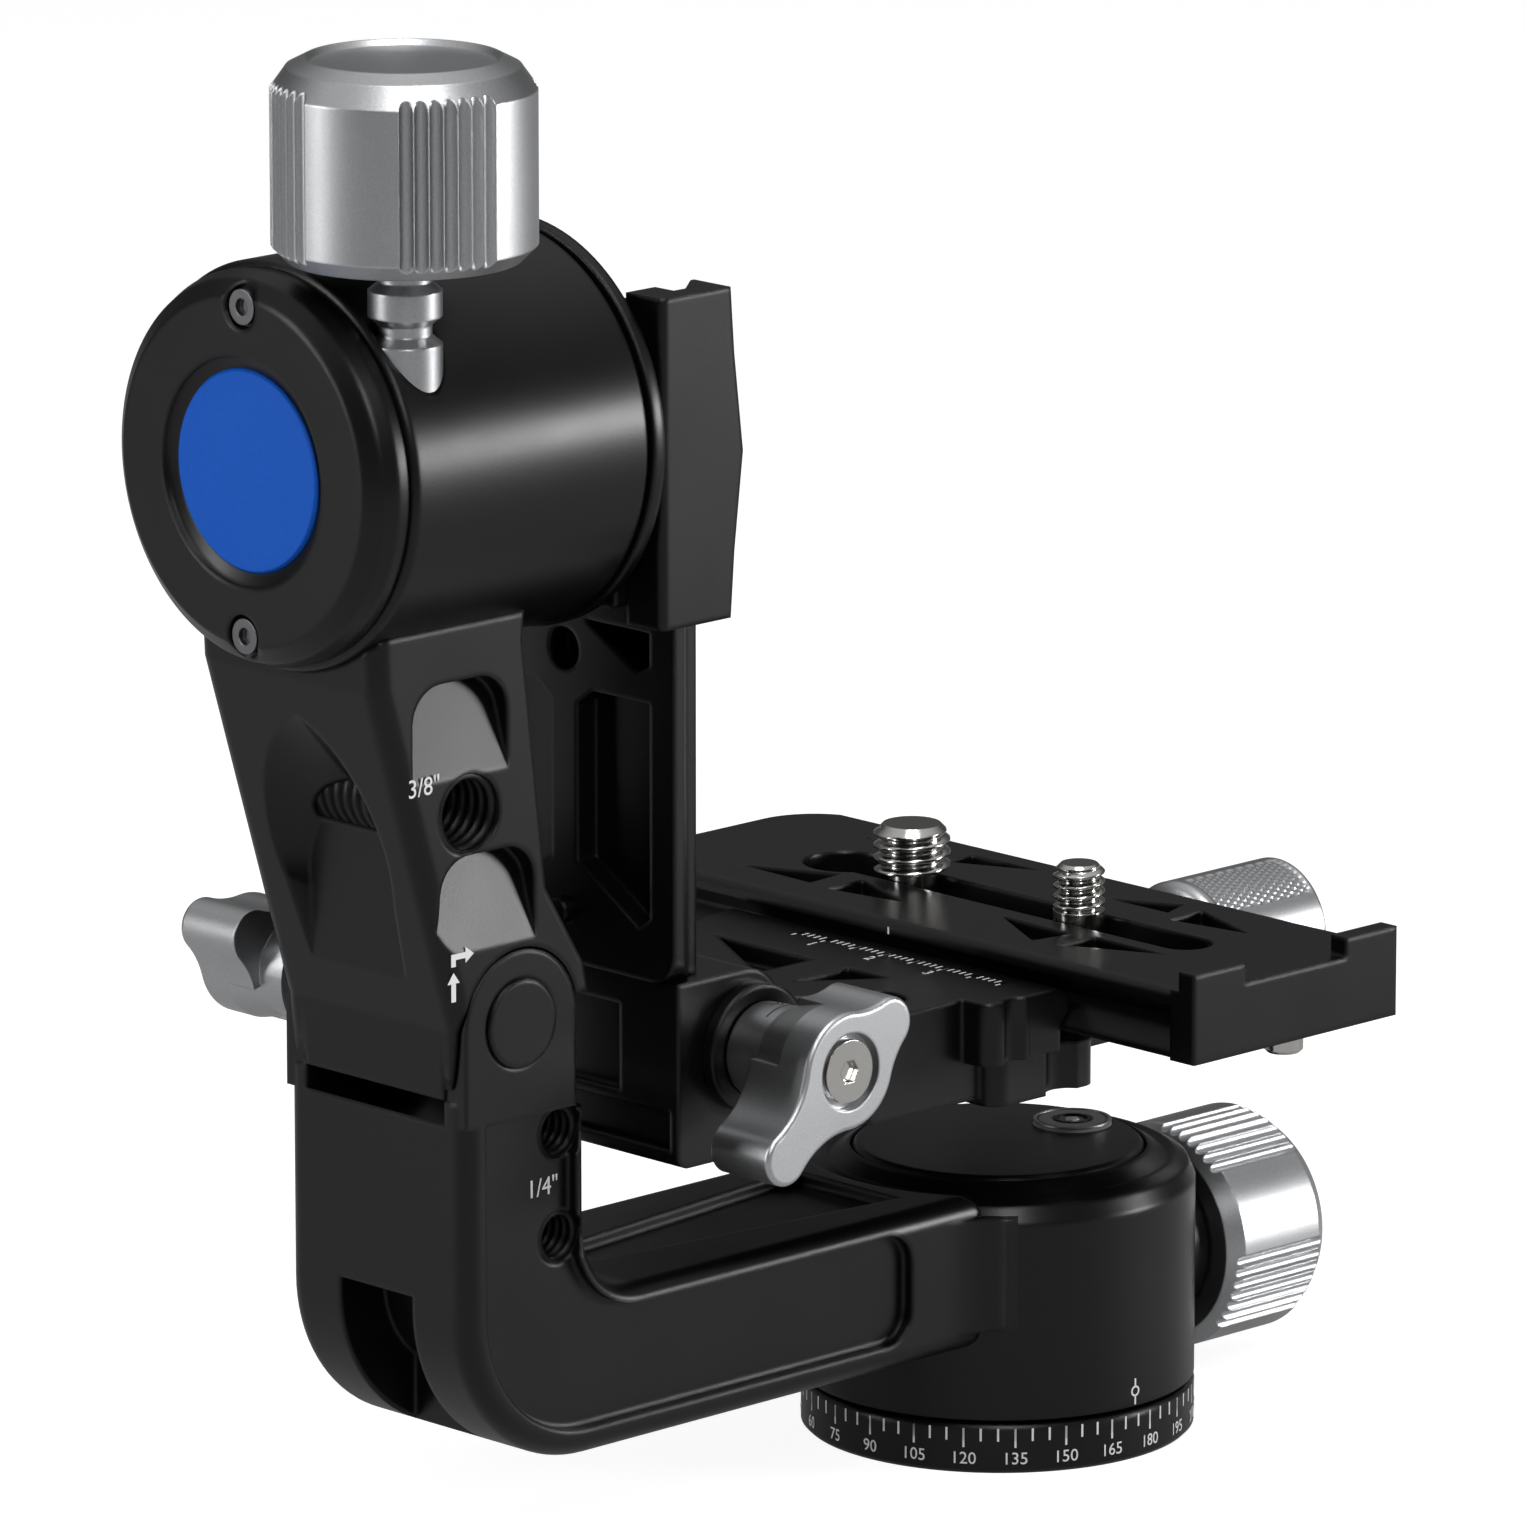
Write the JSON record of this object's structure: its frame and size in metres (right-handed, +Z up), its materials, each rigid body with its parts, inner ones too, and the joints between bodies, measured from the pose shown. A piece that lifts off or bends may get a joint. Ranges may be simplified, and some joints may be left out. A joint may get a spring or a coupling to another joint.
{
  "type": "gimbal tripod head",
  "caption": "Folding side-arm gimbal head: panning base, swinging rail on a tilt axis and a quick-release lens platform with locking knobs",
  "frame": {"origin": "centre of the base dial's underside, on the pan axis", "axes": "+Z up along the pan axis; X along the tilt axis, with the side arm on -X; the lens plate runs along Y"},
  "size_m": [0.1801, 0.1, 0.1874],
  "materials": {
    "black_anodised": "fine bead-blasted black anodised aluminium, satin",
    "silver_aluminium": "satin bead-blasted clear anodised aluminium",
    "polished_steel": "bright machined steel",
    "blue_disc": "blue anodised insert, satin",
    "level_glass": "clear level with green fluid"
  },
  "bodies": {
    "base": {"base_dial": "black_anodised"},
    "pan": {"pan_housing": "black_anodised", "housing_cover": "black_anodised", "bubble_vial": "level_glass", "pan_collar": "black_anodised", "lower_arm": "black_anodised", "hinge_pin": "black_anodised", "fold_collar": "black_anodised"},
    "pan_lock": {"pan_knob": "silver_aluminium"},
    "fold_lock": {"fold_lever": "silver_aluminium", "fold_lever_screw": "polished_steel"},
    "upright": {"upper_arm": "black_anodised", "tilt_housing": "black_anodised", "tilt_cap": "black_anodised", "cap_disc": "blue_disc", "cap_screws": "polished_steel", "lock_stem": "silver_aluminium"},
    "tilt_lock": {"tilt_knob": "silver_aluminium"},
    "swing": {"tilt_shaft": "black_anodised", "bracket_floor": "black_anodised", "bracket_jaw_front": "black_anodised", "bracket_jaw_rear": "black_anodised"},
    "rail_lock": {"jaw_knob": "silver_aluminium"},
    "rail_slide": {"rail": "black_anodised", "rail_stops": "black_anodised", "clamp_block": "black_anodised", "lever_collar": "black_anodised"},
    "platform_lock": {"clamp_lever": "silver_aluminium", "clamp_lever_screw": "polished_steel"},
    "platform": {"platform": "black_anodised"},
    "jaw": {"qr_jaw": "black_anodised"},
    "jaw_lock": {"qr_knob": "silver_aluminium"},
    "plate": {"lens_plate": "black_anodised", "safety_peg": "polished_steel"},
    "screw_large": {"camera_screw_large": "polished_steel"},
    "screw_small": {"camera_screw_small": "polished_steel"}
  },
  "joints": [
    {"name": "pan_turn", "type": "hinge", "parent": "base", "child": "pan", "pos_m": [0, 0, 0.02], "axis": [0, 0, 1], "continuous": true},
    {"name": "pan_knob_turn", "type": "hinge", "parent": "pan", "child": "pan_lock", "pos_m": [0.035, 0, 0.018], "axis": [1, 0, 0], "range_deg": [0, 270]},
    {"name": "fold_hinge", "type": "hinge", "parent": "pan", "child": "upright", "pos_m": [-0.095, 0, 0.0705], "axis": [0, 1, 0], "range_deg": [0, 5]},
    {"name": "fold_lever_turn", "type": "hinge", "parent": "pan", "child": "fold_lock", "pos_m": [-0.095, 0.025, 0.0705], "axis": [0, 1, 0], "range_deg": [-90, 0]},
    {"name": "tilt_knob_turn", "type": "hinge", "parent": "upright", "child": "tilt_lock", "pos_m": [-0.114, -0.017, 0.17], "axis": [0, 0, 1], "range_deg": [0, 270]},
    {"name": "tilt_swing", "type": "hinge", "parent": "upright", "child": "swing", "pos_m": [-0.1, 0, 0.138], "axis": [1, 0, 0], "continuous": true},
    {"name": "rail_knob_turn", "type": "hinge", "parent": "swing", "child": "rail_lock", "pos_m": [-0.0759, 0.028, 0.1353], "axis": [0, 1, 0], "range_deg": [0, 270]},
    {"name": "rail_height", "type": "slide", "parent": "swing", "child": "rail_slide", "axis": [0, 0, 1], "range_m": [0, 0.036]},
    {"name": "clamp_lever_turn", "type": "hinge", "parent": "rail_slide", "child": "platform_lock", "pos_m": [-0.0605, -0.025, 0.062], "axis": [0, -1, 0], "range_deg": [0, 90]},
    {"name": "platform_reach", "type": "slide", "parent": "rail_slide", "child": "platform", "axis": [1, 0, 0], "range_m": [0, 0.01]},
    {"name": "jaw_open", "type": "slide", "parent": "platform", "child": "jaw", "axis": [1, 0, 0], "range_m": [0, 0.003]},
    {"name": "jaw_knob_turn", "type": "hinge", "parent": "jaw", "child": "jaw_lock", "pos_m": [0.03, 0, 0.0544], "axis": [1, 0, 0], "range_deg": [0, 270]},
    {"name": "plate_slide", "type": "slide", "parent": "platform", "child": "plate", "axis": [0, 1, 0], "range_m": [-0.02, 0.017]},
    {"name": "large_screw_slide", "type": "slide", "parent": "plate", "child": "screw_large", "axis": [0, 1, 0], "range_m": [-0.012, 0.006]},
    {"name": "small_screw_slide", "type": "slide", "parent": "plate", "child": "screw_small", "axis": [0, 1, 0], "range_m": [-0.012, 0.01]}
  ]
}
